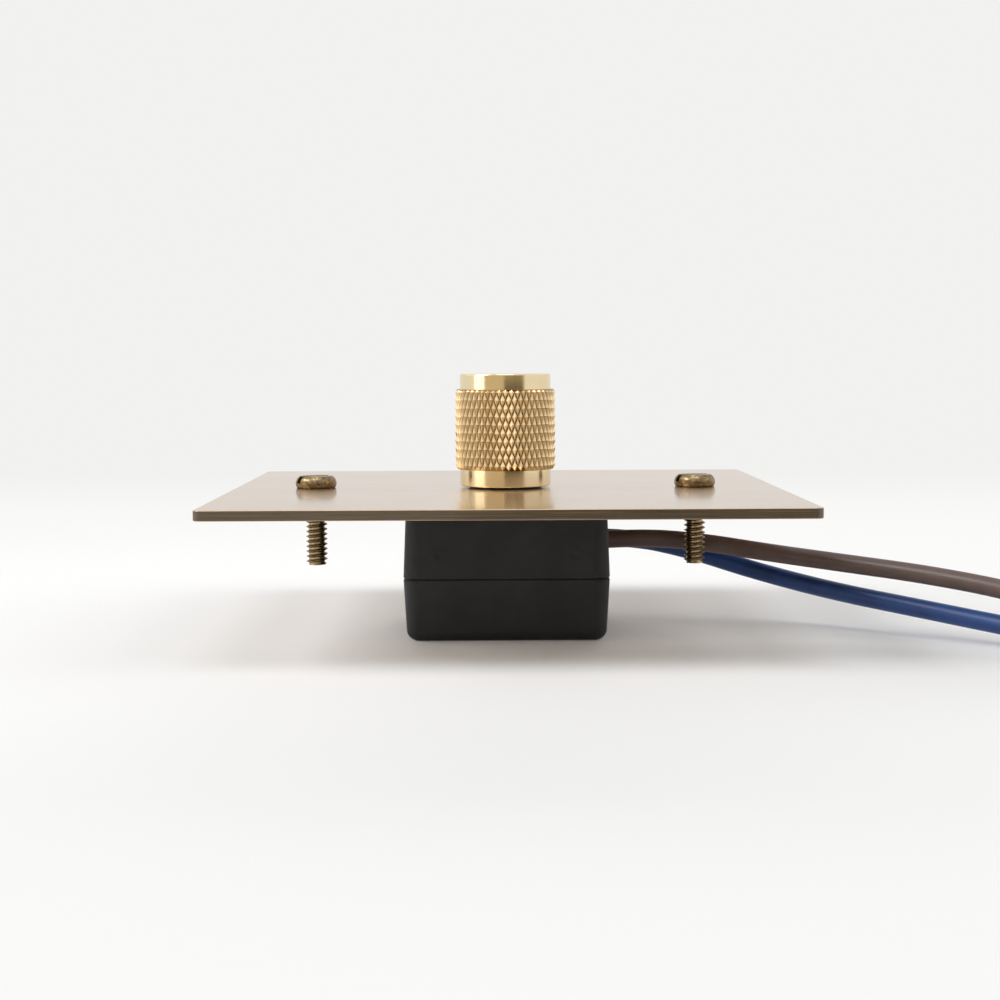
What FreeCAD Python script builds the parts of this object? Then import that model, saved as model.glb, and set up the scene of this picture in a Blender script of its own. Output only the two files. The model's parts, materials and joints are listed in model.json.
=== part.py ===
import FreeCAD
import Part
import math
import os

# Brass rotary dimmer: a square plate with a knurled knob above it and a two-part module under it.
# Millimetres. The origin is on the knob's axis at the module's foot, +X is right, +Y is back, +Z is up.

Vector = FreeCAD.Vector

# Face plate
plate_side = 86.0
plate_thickness = 1.5
plate_corner = 1.2
plate_edge_round = 0.15

# Fixing screws, with a neck under the head where they pass through the plate
screw_pitch = 60.3
screw_diameter = 3.5
screw_neck_diameter = 3.0
screw_length = 12.25
screw_tip_chamfer = 0.4
screw_head_diameter = 6.5
screw_head_height = 1.9
screw_head_foot_round = 0.25
screw_head_crown_round = 0.5
screw_head_belly = 0.8
screw_slot_width = 1.0
screw_slot_depth = 1.1
screw_slot_angles = (36.0, 25.0)
screw_hole_clearance = 0.25

# Knob: two plain collars with a diamond-knurled band between them
knob_diameter = 16.0
knob_height = 17.7
knob_collar_diameter = 14.4
knob_upper_collar = 2.4
knob_lower_collar = 2.65
knob_edge_chamfer = 0.25
knob_plate_gap = 0.3
knob_crown = 3.0
knob_well_clearance = 0.3
knob_well_headroom = 0.5
knurl_teeth = 50
knurl_rows = 10
knurl_depth = 0.4
knurl_top_chamfer = 0.4
knurl_bottom_chamfer = 0.7

# Nut and washer that clamp the plate between module and knob
nut_across_flats = 10.0
nut_height = 2.0
nut_chamfer = 0.3
washer_diameter = 11.4
washer_thickness = 0.5
washer_rim = 1.1
washer_teeth = 10
washer_notch = 0.9

# Module case: two moulded halves that taper away from their seam
case_side = 31.5
case_height = 21.0
case_seam = 9.5
case_seam_gap = 0.05
case_wall = 1.6
case_floor = 1.6
case_roof = 1.8
case_corner_round = 2.4
case_foot_round = 1.7
case_top_round = 0.5
case_seam_chamfer = 0.2
case_upper_draft = 2.3
case_lower_draft = 3.3
dimple_diameter = 1.6
dimple_depth = 0.1
dimple_inset = 5.4
dimple_rise = 3.8

# Lip and snap tongues of the upper half, which lock into the lower half
lip_height = 1.0
lip_thickness = 0.7
lip_clearance = 0.1
tongue_width = 5.0
tongue_thickness = 0.9
nib_reach = 0.5
nib_height = 0.9
nib_clearance = 0.1

# Circuit board on its corner pillars
board_thickness = 1.6
board_clearance = 0.3
board_corner = 1.0
pillar_side = 3.0
leg_clearance = 0.15
leg_tail_share = 0.28

# Rotary control: bush, shaft and clip
bush_diameter = 7.0
bush_thread_spare = 0.5
bush_hole_clearance = 0.1
thread_clearance = 0.02
shaft_diameter = 6.0
shaft_running_clearance = 0.03
shaft_flat_width = 4.6
shaft_end_gap = 0.4
shaft_end_chamfer = 0.3
spline_teeth = 18
spline_depth = 0.25
spline_length = 8.0
split_width = 0.9
split_depth = 8.5
push_fit_clearance = 0.01
clip_diameter = 7.8
clip_thickness = 0.45
clip_groove_depth = 0.5
clip_mouth = 4.4
axial_play = 0.05

# Rotary control: flange, can, wafer, rotor and wiper
flange_thickness = 1.5
flange_lip = 0.6
key_width = 2.4
key_depth = 1.0
key_height = 1.2
key_radius = 6.4
key_clearance = 0.1
can_diameter = 16.4
can_wall = 0.4
can_clearance = 0.05
crimp_width = 2.0
wafer_thickness = 1.2
tongue_reach = 3.0
track_thickness = 0.1
track_width = 1.4
track_radius = 6.5
collector_radius = 5.0
collector_width = 0.8
hub_diameter = 8.0
hub_clearance = 0.25
rotor_diameter = 12.0
rotor_thickness = 2.0
rotor_floor_gap = 0.4
wiper_room = 1.3
wiper_thickness = 0.2
wiper_contact_gap = 0.05
finger_width = 0.8
finger_length = 4.0
turn_range = 300.0
lug_angle = 30.0
lug_reach = 1.4
stop_play = 0.5
stop_direction = 90.0

# Terminal tags of the track wafer
tag_pitch = 3.6
tag_width = 1.4
tag_thickness = 0.4
tag_leg_width = 1.0
eyelet_diameter = 1.2
eyelet_head_diameter = 2.0
eyelet_head_height = 0.3

# Parts on the board
part_gap = 0.6
wall_margin = 0.7
triac_width = 10.0
triac_body_length = 9.0
triac_tab_length = 6.3
triac_height = 4.4
triac_headroom = 1.8
triac_tab_thickness = 1.3
triac_tab_hole = 3.7
triac_leg_pitch = 2.54
triac_leg_size = 0.7
triac_leg_level = 2.2
triac_leg_reach = 1.5
choke_height = 9.0
choke_flange = 1.2
choke_neck_share = 0.48
choke_winding_inset = 0.35
choke_turns = 9
film_length = 13.0
film_thickness = 3.2
film_height = 9.0
film_leg_pitch = 10.0
timing_length = 7.2
timing_thickness = 2.5
timing_height = 6.5
timing_leg_pitch = 5.0
box_part_round = 0.4
leg_diameter = 0.6
resistor_diameter = 2.3
resistor_waist = 1.9
resistor_length = 6.3
resistor_pitch = 3.2
resistor_wall_gap = 2.5
diac_diameter = 1.9
diac_place_y = 6.2
axial_lift = 0.2
axial_leg_reach = 1.2
fuse_height = 7.6
fuse_cap_height = 1.0
fuse_leg_share = 0.66

# Leads: insulation along hand-chosen points, bare copper at both ends
lead_diameter = 2.9
lead_core_diameter = 1.38
lead_hole_clearance = 0.12
lead_strip = 8.0
lead_tail_reach = 1.8
brown_points = (
    (12.2, 6.0, 13.2),
    (21.5, 6.0, 13.8),
    (31.5, 5.2, 13.1),
    (42.5, 1.2, 11.6),
    (53.5, -5.6, 10.6),
    (64.0, -13.8, 9.8),
    (74.0, -22.6, 8.5),
    (85.0, -30.5, 5.9),
    (97.0, -36.5, 3.2),
    (110.0, -39.8, 1.7),
    (122.5, -40.4, 1.6),
)
blue_points = (
    (12.2, 9.4, 13.5),
    (20.5, 9.4, 13.5),
    (30.0, 8.8, 11.5),
    (40.5, 5.0, 8.3),
    (52.0, -3.4, 5.9),
    (63.0, -12.8, 4.5),
    (73.5, -22.6, 3.2),
    (84.0, -32.6, 2.0),
    (95.0, -42.0, 1.6),
    (107.5, -48.8, 1.5),
    (120.0, -51.8, 1.6),
)

# Levels worked out from the sizes above, from the foot upwards
upper_bottom = case_seam + case_seam_gap
mount_plane = case_height - case_roof
flange_bottom = mount_plane - flange_thickness
wafer_bottom = flange_bottom - wafer_thickness
rotor_top = wafer_bottom - wiper_room
rotor_bottom = rotor_top - rotor_thickness
can_floor = rotor_bottom - rotor_floor_gap
can_bottom = can_floor - can_wall
board_top = can_bottom - triac_headroom - triac_height
board_bottom = board_top - board_thickness
leg_tail = leg_tail_share * (board_bottom - case_floor)
can_rim = mount_plane - flange_lip
plate_top = case_height + plate_thickness
washer_top = plate_top + washer_thickness
nut_top = washer_top + nut_height
bush_top = nut_top + bush_thread_spare
clip_bottom = bush_top + axial_play
clip_top = clip_bottom + clip_thickness
knob_bottom = plate_top + knob_plate_gap
knob_top = knob_bottom + knob_height
well_top = clip_top + knob_well_headroom
knob_bore_top = knob_top - knob_crown
shaft_top = knob_bore_top - shaft_end_gap
hub_top = flange_bottom - axial_play

# Plan sizes worked out from the sizes above
can_inner = can_diameter / 2 - can_wall
nut_across_corners = nut_across_flats / math.cos(math.pi / 6)
seam_inner_half = case_side / 2 - case_wall
cavity_corner = max(case_corner_round - case_wall, case_wall / 2)
stop_angle = 360 - turn_range - lug_angle - 2 * stop_play
tag_place_y = -(can_diameter / 2 + tongue_reach - tag_thickness)
eyelet_place_y = -(can_diameter / 2 + eyelet_head_diameter / 2 + can_clearance)


def lower_half_width(level):
    # Half of the lower case's outer width at a level
    return case_side / 2 - (case_seam - level) * math.tan(math.radians(case_lower_draft))


def upper_half_width(level):
    # Half of the upper case's outer width at a level
    return case_side / 2 - (level - upper_bottom) * math.tan(math.radians(case_upper_draft))


board_half = lower_half_width(board_bottom) - case_wall - board_clearance
tongue_outer = lower_half_width(board_top) - case_wall - lip_clearance
film_back = board_half - wall_margin
film_front = film_back - film_thickness
triac_back = film_front - part_gap
triac_front = triac_back - triac_tab_length - triac_body_length
side_room = board_half - wall_margin - triac_width / 2 - part_gap
side_room_middle = board_half - wall_margin - side_room / 2
choke_diameter = side_room
choke_neck = choke_neck_share * choke_diameter / 2
winding_radius = choke_diameter / 2 - choke_winding_inset
fuse_diameter = side_room
fuse_leg_pitch = fuse_leg_share * fuse_diameter
diac_length = side_room - 2 * axial_leg_reach - part_gap
timing_left = -(board_half - wall_margin)
resistor_place = board_half - resistor_wall_gap


def block(low, high):
    # Box between two opposite corners
    size = Vector(*high) - Vector(*low)
    return Part.makeBox(size.x, size.y, size.z, Vector(*low))


def disc(radius, bottom, top, x=0.0, y=0.0):
    # Upright cylinder
    return Part.makeCylinder(radius, top - bottom, Vector(x, y, bottom))


def ring(outer, inner, bottom, top, x=0.0, y=0.0):
    # Upright washer or sleeve
    return disc(outer, bottom, top, x, y).cut(disc(inner, bottom, top, x, y))


def joined(first, *others):
    # One solid from pieces that meet
    return first.multiFuse(list(others)).removeSplitter()


def turned_about_axis(shape, angle):
    # Copy turned about the knob's axis, in degrees
    copy = shape.copy()
    copy.rotate(Vector(0, 0, 0), Vector(0, 0, 1), angle)
    return copy


def moved(shape, x, y, z):
    # Copy at another place
    copy = shape.copy()
    copy.translate(Vector(x, y, z))
    return copy


def flat_face(outline):
    # Flat face inside a closed outline of corner points
    return Part.Face(Part.makePolygon(list(outline) + [outline[0]]))


def turned(points):
    # Solid of revolution of an outline of (radius, level) points
    outline = [Vector(radius, 0, level) for radius, level in points]
    face = flat_face(outline)
    return face.revolve(Vector(0, 0, 0), Vector(0, 0, 1), 360)


def extruded(points, bottom, top):
    # Upright prism of an (x, y) outline
    outline = [Vector(x, y, bottom) for x, y in points]
    face = flat_face(outline)
    return face.extrude(Vector(0, 0, top - bottom))


def sector(outer, inner, middle, width, bottom, top):
    # Part of a ring, width degrees wide about the direction middle
    outline = [Vector(inner, 0, bottom), Vector(outer, 0, bottom)]
    outline += [Vector(outer, 0, top), Vector(inner, 0, top)]
    face = flat_face(outline)
    wedge = face.revolve(Vector(0, 0, 0), Vector(0, 0, 1), width)
    return turned_about_axis(wedge, middle - width / 2)


def edges_at(shape, level):
    # Edges that lie in one level plane
    return [e for e in shape.Edges if all(abs(v.Z - level) < 1e-6 for v in e.Vertexes)]


def tapered_block(bottom_half, top_half, bottom, top, corner):
    # Square block with drafted flat sides and conical corners, corner being the radius at the wide end
    centre = max(bottom_half, top_half) - corner
    section = [(-bottom_half, bottom), (bottom_half, bottom), (top_half, top), (-top_half, top)]
    slab = flat_face([Vector(x, -centre, z) for x, z in section]).extrude(Vector(0, 2 * centre, 0))
    section = [(centre, bottom), (bottom_half, bottom), (top_half, top), (centre, top)]
    wedge = flat_face([Vector(x, centre, z) for x, z in section])
    wedge = wedge.revolve(Vector(centre, centre, 0), Vector(0, 0, 1), 90)
    wedges = [turned_about_axis(wedge, 90 * quarter) for quarter in range(4)]
    return joined(slab, turned_about_axis(slab, 90), *wedges)


def rounded_path(points):
    # Straight runs joined by tangent arcs, each as large as its two runs allow
    stops = [Vector(*p) for p in points]
    run_share = 0.45
    edges = []
    radii = []
    start = stops[0]
    for before, corner, after in zip(stops, stops[1:], stops[2:]):
        back = before - corner
        ahead = after - corner
        setback = run_share * min(back.Length, ahead.Length)
        back.normalize()
        ahead.normalize()
        half_turn = (math.pi - back.getAngle(ahead)) / 2
        radius = setback / math.tan(half_turn)
        bisector = back + ahead
        bisector.normalize()
        middle = corner + bisector * (radius / math.cos(half_turn) - radius)
        enter = corner + back * setback
        leave = corner + ahead * setback
        edges.append(Part.LineSegment(start, enter).toShape())
        edges.append(Part.Arc(enter, middle, leave).toShape())
        radii.append(radius)
        start = leave
    edges.append(Part.LineSegment(start, stops[-1]).toShape())
    return Part.Wire(edges), radii


def tube(points, diameter):
    # Round wire along a rounded path, with its bend radii
    path, radii = rounded_path(points)
    start = Vector(*points[0])
    section = Part.Wire(Part.makeCircle(diameter / 2, start, Vector(*points[1]) - start))
    return path.makePipeShell([section], True, False), path.Length, radii


def face_plate():
    half = plate_side / 2
    plate = block((-half, -half, case_height), (half, half, plate_top))
    corners = [e for e in plate.Edges if e.BoundBox.ZLength > plate_thickness / 2]
    plate = plate.makeFillet(plate_corner, corners)
    rims = [e for e in plate.Edges if e.BoundBox.ZLength < plate_thickness / 2]
    plate = plate.makeFillet(plate_edge_round, rims)
    bush_hole = disc(bush_diameter / 2 + bush_hole_clearance, case_height, plate_top)
    screw_hole_radius = screw_diameter / 2 + screw_hole_clearance
    places = (-screw_pitch / 2, screw_pitch / 2)
    screw_holes = [disc(screw_hole_radius, case_height, plate_top, x) for x in places]
    return plate.cut([bush_hole] + screw_holes)


def screw(slot_angle):
    # Pan head with a belly, a plain neck in the plate and a full-diameter shank under it
    head = screw_head_diameter / 2
    foot = Vector(head - screw_head_foot_round, 0, 0)
    belly = Vector(head, 0, screw_head_belly)
    crown = Vector(head - screw_head_crown_round, 0, screw_head_height)
    top = Vector(0, 0, screw_head_height)
    edges = [Part.LineSegment(Vector(0, 0, 0), foot).toShape()]
    edges.append(Part.Arc(foot, belly, crown).toShape())
    edges.append(Part.LineSegment(crown, top).toShape())
    edges.append(Part.LineSegment(top, Vector(0, 0, 0)).toShape())
    outline = Part.Face(Part.Wire(edges))
    solid = outline.revolve(Vector(0, 0, 0), Vector(0, 0, 1), 360)
    shank = screw_diameter / 2
    neck = screw_neck_diameter / 2
    tip = shank - screw_tip_chamfer
    profile = [(0, 0), (neck, 0), (neck, -plate_thickness), (shank, -plate_thickness)]
    profile += [(shank, screw_tip_chamfer - screw_length), (tip, -screw_length), (0, -screw_length)]
    solid = joined(solid, turned(profile))
    slot_floor = screw_head_height - screw_slot_depth
    slot_end = screw_head_diameter
    half_slot = screw_slot_width / 2
    slot = block((-slot_end, -half_slot, slot_floor), (slot_end, half_slot, slot_end))
    return solid.cut(turned_about_axis(slot, slot_angle))


def plate_screws():
    places = (-screw_pitch / 2, screw_pitch / 2)
    screws = [moved(screw(angle), x, 0, plate_top) for x, angle in zip(places, screw_slot_angles)]
    return Part.makeCompound(screws)


def knurled_band(bottom, top):
    # Diamond knurl: crossing grooves leave a pyramid on every other point of a staggered lattice
    tip = knob_diameter / 2
    root = tip - knurl_depth
    columns = 2 * knurl_teeth
    first = bottom + knurl_bottom_chamfer
    row_height = (top - knurl_top_chamfer - first) / (knurl_rows - 1)
    levels = [first + row_height * row for row in range(knurl_rows)]
    levels = [bottom] + levels + [top]

    def lattice_point(row, column):
        at_end = row in (0, len(levels) - 1)
        is_tip = not at_end and (row + column) % 2 == 0
        radius = tip if is_tip else root
        angle = math.pi * column / knurl_teeth
        return Vector(radius * math.cos(angle), radius * math.sin(angle), levels[row])

    rows = [[lattice_point(row, column) for column in range(columns)] for row in range(len(levels))]
    outlines = []
    for row in range(len(levels) - 1):
        for column in range(columns):
            following = (column + 1) % columns
            a, b = rows[row][column], rows[row][following]
            c, d = rows[row + 1][following], rows[row + 1][column]
            # Each cell is folded along its groove, from root to root
            if (row + column) % 2 == 0:
                outlines += [(a, b, d), (b, c, d)]
            else:
                outlines += [(a, b, c), (a, c, d)]
    outlines += [rows[0], rows[-1]]
    faces = [flat_face(outline) for outline in outlines]
    shell = Part.Shell(faces)
    shell.sewShape()
    return Part.Solid(shell)


def knob():
    collar = knob_collar_diameter / 2
    edge = collar - knob_edge_chamfer
    core = [(0, knob_bottom), (edge, knob_bottom), (collar, knob_bottom + knob_edge_chamfer)]
    core += [(collar, knob_top - knob_edge_chamfer), (edge, knob_top), (0, knob_top)]
    band = knurled_band(knob_bottom + knob_lower_collar, knob_top - knob_upper_collar)
    well = nut_across_corners / 2 + knob_well_clearance
    bore = shaft_diameter / 2 + push_fit_clearance
    hollow = [(0, knob_bottom), (well, knob_bottom), (well, well_top), (bore, well_top)]
    hollow += [(bore, knob_bore_top), (0, knob_bore_top)]
    return band.fuse(turned(core)).cut(turned(hollow))


def bush_nut():
    corner = nut_across_corners / 2
    angles = [math.pi * k / 3 for k in range(6)]
    hexagon = [(corner * math.cos(angle), corner * math.sin(angle)) for angle in angles]
    edge = nut_across_flats / 2
    barrel = [(0, washer_top), (edge, washer_top), (corner, washer_top + nut_chamfer)]
    barrel += [(corner, nut_top - nut_chamfer), (edge, nut_top), (0, nut_top)]
    nut = extruded(hexagon, washer_top, nut_top).common(turned(barrel))
    return nut.cut(disc(bush_diameter / 2 + thread_clearance, washer_top, nut_top))


def lock_washer():
    inner = bush_diameter / 2 + thread_clearance
    outer = washer_diameter / 2
    notch = block((0, -washer_notch / 2, plate_top), (outer - washer_rim, washer_notch / 2, washer_top))
    notches = [turned_about_axis(notch, 360 * k / washer_teeth) for k in range(washer_teeth)]
    return ring(outer, inner, plate_top, washer_top).cut(notches)


def case_cavity(bottom_half, top_half, bottom, top):
    # Hollow with the case's own draft and a corner that keeps the wall even
    return tapered_block(bottom_half - case_wall, top_half - case_wall, bottom, top, cavity_corner)


def snap_tongue():
    # Tongue on the right-hand wall, with the nib that locks into the lower half
    half = tongue_width / 2
    end = board_top + lip_clearance
    nib_top = case_seam - lip_height
    root = upper_bottom + lip_height
    tongue = block((tongue_outer - tongue_thickness, -half, end), (tongue_outer, half, root))
    nib_tip = tongue_outer + nib_reach
    section = ((tongue_outer, nib_top - nib_height), (nib_tip, nib_top), (tongue_outer, nib_top))
    nib = flat_face([Vector(x, -half, z) for x, z in section])
    return joined(tongue, nib.extrude(Vector(0, tongue_width, 0)))


def snap_pocket():
    # Room for one nib in the lower half's wall
    half = tongue_width / 2 + nib_clearance
    top = case_seam - lip_height + nib_clearance
    bottom = top - nib_height - 2 * nib_clearance
    depth = tongue_outer + nib_reach + nib_clearance
    return block((tongue_outer - tongue_thickness, -half, bottom), (depth, half, top))


def lead_hole(points):
    # Hole in the right-hand wall, on the first run of a lead
    start = Vector(*points[0])
    reach = case_side / 2 - start.x + case_wall
    radius = lead_diameter / 2 + lead_hole_clearance
    return Part.makeCylinder(radius, reach, start, Vector(*points[1]) - start)


def mould_dimple(x):
    # Shallow round mark in the front wall
    level = upper_bottom + dimple_rise
    sphere_radius = dimple_diameter ** 2 / (8 * dimple_depth) + dimple_depth / 2
    centre_y = -upper_half_width(level) - sphere_radius + dimple_depth
    return Part.makeSphere(sphere_radius, Vector(x, centre_y, level))


def upper_case():
    top_half = upper_half_width(case_height)
    shell = tapered_block(case_side / 2, top_half, upper_bottom, case_height, case_corner_round)
    shell = shell.makeFillet(case_top_round, edges_at(shell, case_height))
    shell = shell.makeChamfer(case_seam_chamfer, edges_at(shell, upper_bottom))
    roof_half = upper_half_width(mount_plane)
    shell = shell.cut(case_cavity(case_side / 2, roof_half, upper_bottom, mount_plane))
    lip_outer = seam_inner_half - lip_clearance
    lip_inner = lip_outer - lip_thickness
    lip_bottom = case_seam - lip_height
    lip_top = upper_bottom + lip_height
    lip = tapered_block(lip_outer, lip_outer, lip_bottom, upper_bottom, cavity_corner)
    root_outer = seam_inner_half + case_wall / 2
    root_corner = case_corner_round - case_wall / 2
    root = tapered_block(root_outer, root_outer, upper_bottom, lip_top, root_corner)
    opening = tapered_block(lip_inner, lip_inner, lip_bottom, lip_top, cavity_corner)
    tongues = [turned_about_axis(snap_tongue(), 90 * k) for k in range(4)]
    shell = joined(shell, lip.cut(opening), root.cut(opening), *tongues)
    bush_hole = disc(bush_diameter / 2 + bush_hole_clearance, mount_plane, case_height)
    key_half = key_width / 2 + key_clearance
    key_near = key_radius - key_depth / 2 - key_clearance
    key_far = key_radius + key_depth / 2 + key_clearance
    key_roof = mount_plane + key_height + key_clearance
    key_pocket = block((-key_half, key_near, mount_plane), (key_half, key_far, key_roof))
    dimple_place = case_side / 2 - dimple_inset
    cuts = [bush_hole, key_pocket, lead_hole(brown_points), lead_hole(blue_points)]
    cuts += [mould_dimple(x) for x in (-dimple_place, dimple_place)]
    return shell.cut(cuts)


def lower_case():
    outer = tapered_block(lower_half_width(0), case_side / 2, 0, case_seam, case_corner_round)
    outer = outer.makeFillet(case_foot_round, edges_at(outer, 0))
    outer = outer.makeChamfer(case_seam_chamfer, edges_at(outer, case_seam))
    shell = outer.cut(case_cavity(lower_half_width(case_floor), case_side / 2, case_floor, case_seam))
    inner = lower_half_width(case_floor) - case_wall
    near = inner - pillar_side
    pillar = block((near, near, case_floor / 2), (case_side, case_side, board_bottom))
    pillars = [turned_about_axis(pillar, 90 * k).common(outer) for k in range(4)]
    pockets = [turned_about_axis(snap_pocket(), 90 * k) for k in range(4)]
    return joined(shell, *pillars).cut(pockets)


def crimp_notch(width, depth, bottom, top):
    # Box across the can's rim, at the first of its four crimps
    return turned_about_axis(block((depth, -width / 2, bottom), (can_diameter, width / 2, top)), 45)


def control_bush():
    bore = shaft_diameter / 2 + shaft_running_clearance
    bush = bush_diameter / 2
    body = can_inner - can_clearance
    lip = can_diameter / 2
    profile = [(bore, flange_bottom), (body, flange_bottom), (body, can_rim), (lip, can_rim)]
    profile += [(lip, mount_plane), (bush, mount_plane), (bush, bush_top), (bore, bush_top)]
    half = key_width / 2
    key_near = key_radius - key_depth / 2
    key = block((-half, key_near, can_rim), (half, key_near + key_depth, mount_plane + key_height))
    notch_width = crimp_width + 2 * can_clearance
    notch_floor = math.sqrt(body ** 2 - notch_width ** 2 / 4)
    notch = crimp_notch(notch_width, notch_floor, can_rim, mount_plane)
    notches = [turned_about_axis(notch, 90 * k) for k in range(4)]
    return joined(turned(profile), key).cut(notches)


def control_can():
    outer = can_diameter / 2
    profile = [(0, can_bottom), (outer, can_bottom), (outer, can_rim), (can_inner, can_rim)]
    profile += [(can_inner, can_floor), (0, can_floor)]
    stop_inner = rotor_diameter / 2 + rotor_floor_gap
    stop_outer = can_inner + can_wall / 2
    stop_top = rotor_top - rotor_floor_gap
    stop = sector(stop_outer, stop_inner, stop_direction, stop_angle, can_floor - can_wall / 2, stop_top)
    crimp = ring(outer, can_inner, can_rim - can_wall, mount_plane)
    crimp = crimp.common(crimp_notch(crimp_width, 0, can_rim - can_wall, mount_plane))
    crimps = [turned_about_axis(crimp, 90 * k) for k in range(4)]
    half = tag_pitch + tag_width / 2 + part_gap
    window_bottom = wafer_bottom - tag_thickness - can_clearance
    window = block((-half, -can_diameter, window_bottom), (half, 0, can_rim))
    return joined(turned(profile), stop, *crimps).cut(window)


def track_wafer():
    half = tag_pitch + tag_width / 2 + part_gap - can_clearance
    front = -(can_diameter / 2 + tongue_reach)
    tongue = block((-half, front, wafer_bottom), (half, 0, flange_bottom))
    land = wafer_bottom - track_thickness
    half_track = track_width / 2
    track = ring(track_radius + half_track, track_radius - half_track, land, wafer_bottom)
    track = track.cut(block((-tag_width, -can_diameter, land), (tag_width, 0, wafer_bottom)))
    half_land = collector_width / 2
    collector = ring(collector_radius + half_land, collector_radius - half_land, land, wafer_bottom)
    body = disc(can_inner - can_clearance, wafer_bottom, flange_bottom)
    wafer = joined(body, tongue, track, collector)
    holes = [disc(hub_diameter / 2 + hub_clearance, land, flange_bottom)]
    eyelet_hole = eyelet_diameter / 2 + can_clearance
    for x in (-tag_pitch, 0, tag_pitch):
        holes.append(disc(eyelet_hole, land, flange_bottom, x, eyelet_place_y))
    return wafer.cut(holes)


def track_terminals():
    start = -(track_radius + track_width / 2 + wiper_thickness)
    half = tag_width / 2
    half_leg = tag_leg_width / 2
    tag_bottom = wafer_bottom - tag_thickness
    head_top = flange_bottom + eyelet_head_height
    tags = []
    for x in (-tag_pitch, 0, tag_pitch):
        strip = block((x - half, tag_place_y, tag_bottom), (x + half, start, wafer_bottom))
        leg = block((x - half_leg, tag_place_y, board_bottom - leg_tail),
                    (x + half_leg, tag_place_y + tag_thickness, wafer_bottom))
        eyelet = disc(eyelet_diameter / 2, tag_bottom, flange_bottom, x, eyelet_place_y)
        head = disc(eyelet_head_diameter / 2, flange_bottom, head_top, x, eyelet_place_y)
        tags.append(joined(strip, leg, eyelet, head))
    return Part.makeCompound(tags)


def flatted_bar(diameter, flat_width, bottom, top):
    # Round bar with two flats, which turns the rotor
    half = flat_width / 2
    between_flats = block((-half, -diameter, bottom), (half, diameter, top))
    return disc(diameter / 2, bottom, top).common(between_flats)


def wiper_carrier():
    hub = hub_diameter / 2
    rim = rotor_diameter / 2
    profile = [(0, rotor_bottom), (rim, rotor_bottom), (rim, rotor_top), (hub, rotor_top)]
    profile += [(hub, hub_top), (0, hub_top)]
    lug_direction = stop_direction - (stop_angle + lug_angle) / 2 - stop_play
    lug = sector(rim + lug_reach, hub, lug_direction, lug_angle, rotor_bottom, rotor_top)
    spare = 2 * push_fit_clearance
    drive = flatted_bar(shaft_diameter + spare, shaft_flat_width + spare, rotor_bottom, hub_top)
    return joined(turned(profile), lug).cut(drive)


def wiper_finger(radius):
    # Strip that rises from the rotor to the track at one radius
    contact = wafer_bottom - track_thickness - wiper_contact_gap
    base = rotor_top
    heel = -finger_length / 2
    foot = -finger_length / 4
    knee = finger_length / 4
    toe = finger_length / 2
    under = contact - wiper_thickness
    base_top = base + wiper_thickness
    profile = [(heel, base), (foot, base), (knee, under), (toe, under)]
    profile += [(toe, contact), (knee, contact), (foot, base_top), (heel, base_top)]
    outline = [Vector(radius - finger_width / 2, along, level) for along, level in profile]
    face = flat_face(outline)
    return face.extrude(Vector(finger_width, 0, 0))


def wiper():
    inner = hub_diameter / 2 + push_fit_clearance
    outer = collector_radius + collector_width
    base = ring(outer, inner, rotor_top, rotor_top + wiper_thickness)
    ear = block((collector_radius, -finger_length / 2, rotor_top),
                (track_radius + finger_width / 2, -finger_length / 4, rotor_top + wiper_thickness))
    collector_finger = turned_about_axis(wiper_finger(collector_radius), 180)
    return joined(base, ear, wiper_finger(track_radius), collector_finger)


def control_shaft():
    radius = shaft_diameter / 2
    groove = radius - clip_groove_depth
    end = radius - shaft_end_chamfer
    profile = [(0, rotor_bottom), (radius, rotor_bottom), (radius, clip_bottom), (groove, clip_bottom)]
    profile += [(groove, clip_top), (radius, clip_top), (radius, shaft_top - shaft_end_chamfer)]
    profile += [(end, shaft_top), (0, shaft_top)]
    driver = flatted_bar(shaft_diameter, shaft_flat_width, rotor_bottom, hub_top)
    flat_cheeks = disc(radius, rotor_bottom, hub_top).cut(driver)
    spline_bottom = shaft_top - spline_length
    mouth = radius + spline_depth
    groove_half = 2 * spline_depth
    section = [(radius - spline_depth, 0), (mouth, groove_half), (mouth, -groove_half)]
    vee = extruded(section, spline_bottom, shaft_top)
    vees = [turned_about_axis(vee, 360 * k / spline_teeth) for k in range(spline_teeth)]
    half_split = split_width / 2
    split = block((-radius, -half_split, shaft_top - split_depth), (radius, half_split, shaft_top))
    return turned(profile).cut([flat_cheeks, split] + vees)


def shaft_clip():
    groove = shaft_diameter / 2 - clip_groove_depth
    clip = ring(clip_diameter / 2, groove + push_fit_clearance, clip_bottom, clip_top)
    mouth = block((0, -clip_mouth / 2, clip_bottom), (clip_diameter, clip_mouth / 2, clip_top))
    return clip.cut(mouth)


def triac_legs():
    return [(triac_leg_pitch * k, triac_front - triac_leg_reach) for k in (-1, 0, 1)]


def box_part_legs(middle_x, middle_y, pitch, along_x):
    # The two leg places of an upright box
    if along_x:
        return [(middle_x - pitch / 2, middle_y), (middle_x + pitch / 2, middle_y)]
    return [(middle_x, middle_y - pitch / 2), (middle_x, middle_y + pitch / 2)]


def film_legs():
    return box_part_legs(-part_gap, (film_front + film_back) / 2, film_leg_pitch, True)


def timing_legs():
    return box_part_legs(timing_left + timing_thickness / 2, 0, timing_leg_pitch, False)


def fuse_legs():
    return box_part_legs(side_room_middle, -side_room_middle, fuse_leg_pitch, True)


def choke_legs():
    pitch = 2 * winding_radius - leg_diameter
    return box_part_legs(-side_room_middle, -side_room_middle, pitch, False)


def resistor_ends(x):
    half = resistor_length / 2 + axial_leg_reach
    return [(x, -half), (x, half)]


def resistor_places():
    return (resistor_place, resistor_place - resistor_pitch)


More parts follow.
